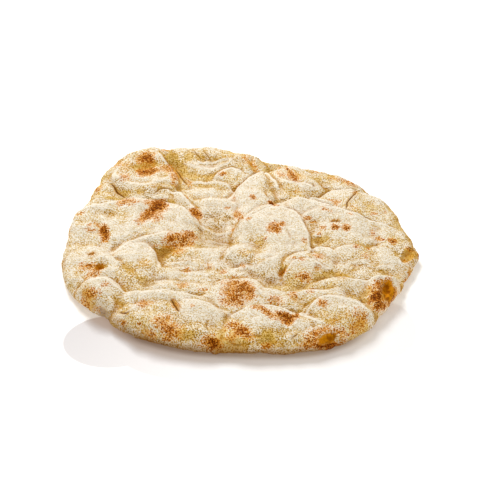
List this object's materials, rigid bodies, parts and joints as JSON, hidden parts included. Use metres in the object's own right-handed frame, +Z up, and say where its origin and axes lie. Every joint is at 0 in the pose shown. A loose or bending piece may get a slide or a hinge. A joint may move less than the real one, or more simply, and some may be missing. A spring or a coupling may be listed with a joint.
{
  "type": "pizza base",
  "caption": "Round hand-stretched pizza base, a baked plain flatbread with a puffed, bubbled, lightly charred top and a flat floury underside.",
  "frame": {"origin": "on the surface the bread rests on, under the middle of its bounding box", "axes": "+Z up out of the bubbled top; -Y towards the camera of the picture, +X to its right"},
  "size_m": [0.3022, 0.3064, 0.0278],
  "materials": {
    "crust": "matt baked dough: creamy flour-dusted tops, tan creases and edges, golden to dark brown scorch spots on the bubbles"
  },
  "bodies": {
    "root": {"pizza_base": "crust"}
  },
  "joints": []
}
